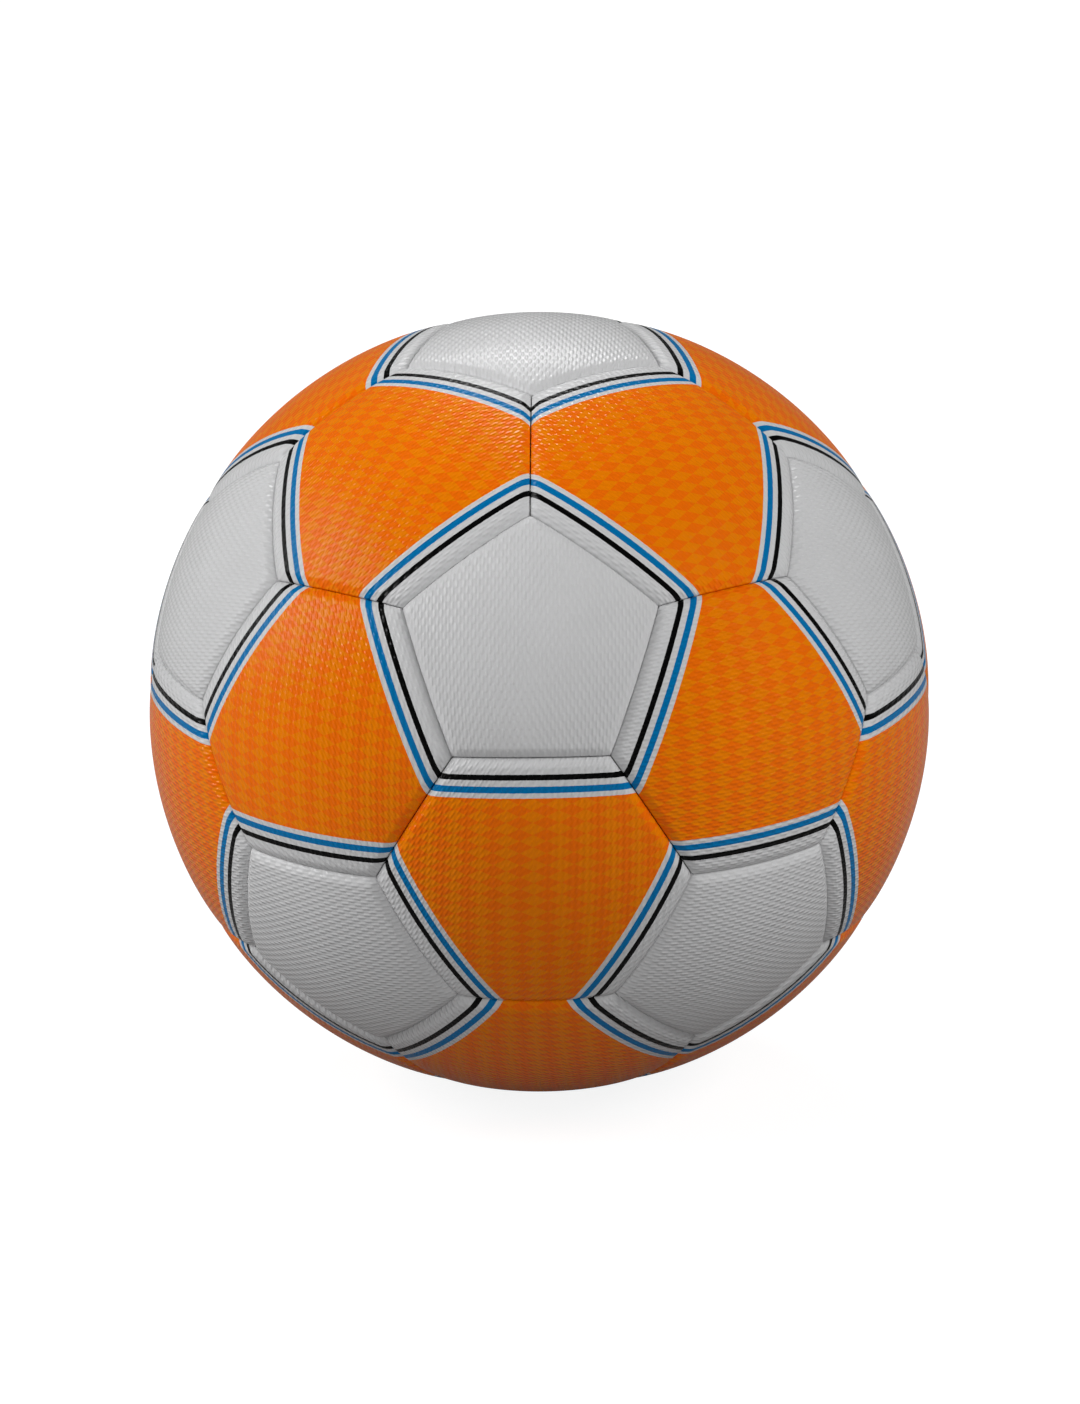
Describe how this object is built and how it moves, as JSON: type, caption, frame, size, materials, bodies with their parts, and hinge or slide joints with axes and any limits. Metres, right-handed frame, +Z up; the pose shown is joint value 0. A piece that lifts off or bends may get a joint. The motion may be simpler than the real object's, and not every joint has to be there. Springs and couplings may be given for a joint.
{
  "type": "soccer ball",
  "caption": "Hand-stitched soccer ball of five-sided and six-sided panels with turned-in edges, foam pads, woven linings, seam stitches, a rubber bladder and a needle valve.",
  "frame": {"origin": "centre of the ball, which is also the centre of its bounding box", "axes": "+Z up through the middle of the top five-sided panel, a five-fold axis of the panels; -Y is the front, towards the camera of the picture; +X is the viewer's right; the valve is at the back, 10.8 degrees above +Y"},
  "size_m": [0.2052, 0.2052, 0.2054],
  "materials": {
    "pentagon_skin": "white embossed synthetic leather with a soft gloss",
    "hexagon_skin": "printed embossed synthetic leather in two tones of orange, with white, blue and black bands",
    "foam": "fine closed-cell foam",
    "lining": "plain-woven polyester and cotton, glued in layers",
    "thread": "waxed twisted polyester thread",
    "bladder": "smooth butyl rubber",
    "valve_rubber": "moulded butyl rubber",
    "core_rubber": "moulded butyl rubber, greased"
  },
  "bodies": {
    "root": {"pentagon_panel_01": "pentagon_skin", "pentagon_panel_02": "pentagon_skin", "pentagon_panel_03": "pentagon_skin", "pentagon_panel_04": "pentagon_skin", "pentagon_panel_05": "pentagon_skin", "pentagon_panel_06": "pentagon_skin", "pentagon_panel_07": "pentagon_skin", "pentagon_panel_08": "pentagon_skin", "pentagon_panel_09": "pentagon_skin", "pentagon_panel_10": "pentagon_skin", "pentagon_panel_11": "pentagon_skin", "pentagon_panel_12": "pentagon_skin", "hexagon_panel_01": "hexagon_skin", "hexagon_panel_02": "hexagon_skin", "hexagon_panel_03": "hexagon_skin", "hexagon_panel_04": "hexagon_skin", "hexagon_panel_05": "hexagon_skin", "hexagon_panel_06": "hexagon_skin", "hexagon_panel_07": "hexagon_skin", "hexagon_panel_08": "hexagon_skin", "hexagon_panel_09": "hexagon_skin", "hexagon_panel_10": "hexagon_skin", "hexagon_panel_11": "hexagon_skin", "hexagon_panel_12": "hexagon_skin", "hexagon_panel_13": "hexagon_skin", "hexagon_panel_14": "hexagon_skin", "hexagon_panel_15": "hexagon_skin", "hexagon_panel_16": "hexagon_skin", "hexagon_panel_17": "hexagon_skin", "hexagon_panel_18": "hexagon_skin", "hexagon_panel_19": "hexagon_skin", "hexagon_panel_20": "hexagon_skin", "pentagon_foam_pads": "foam", "hexagon_foam_pads": "foam", "pentagon_linings": "lining", "hexagon_linings": "lining", "pentagon_seam_stitches": "thread", "hexagon_seam_stitches": "thread", "bladder": "bladder", "valve_sleeve": "valve_rubber", "valve_core": "core_rubber"}
  },
  "joints": []
}
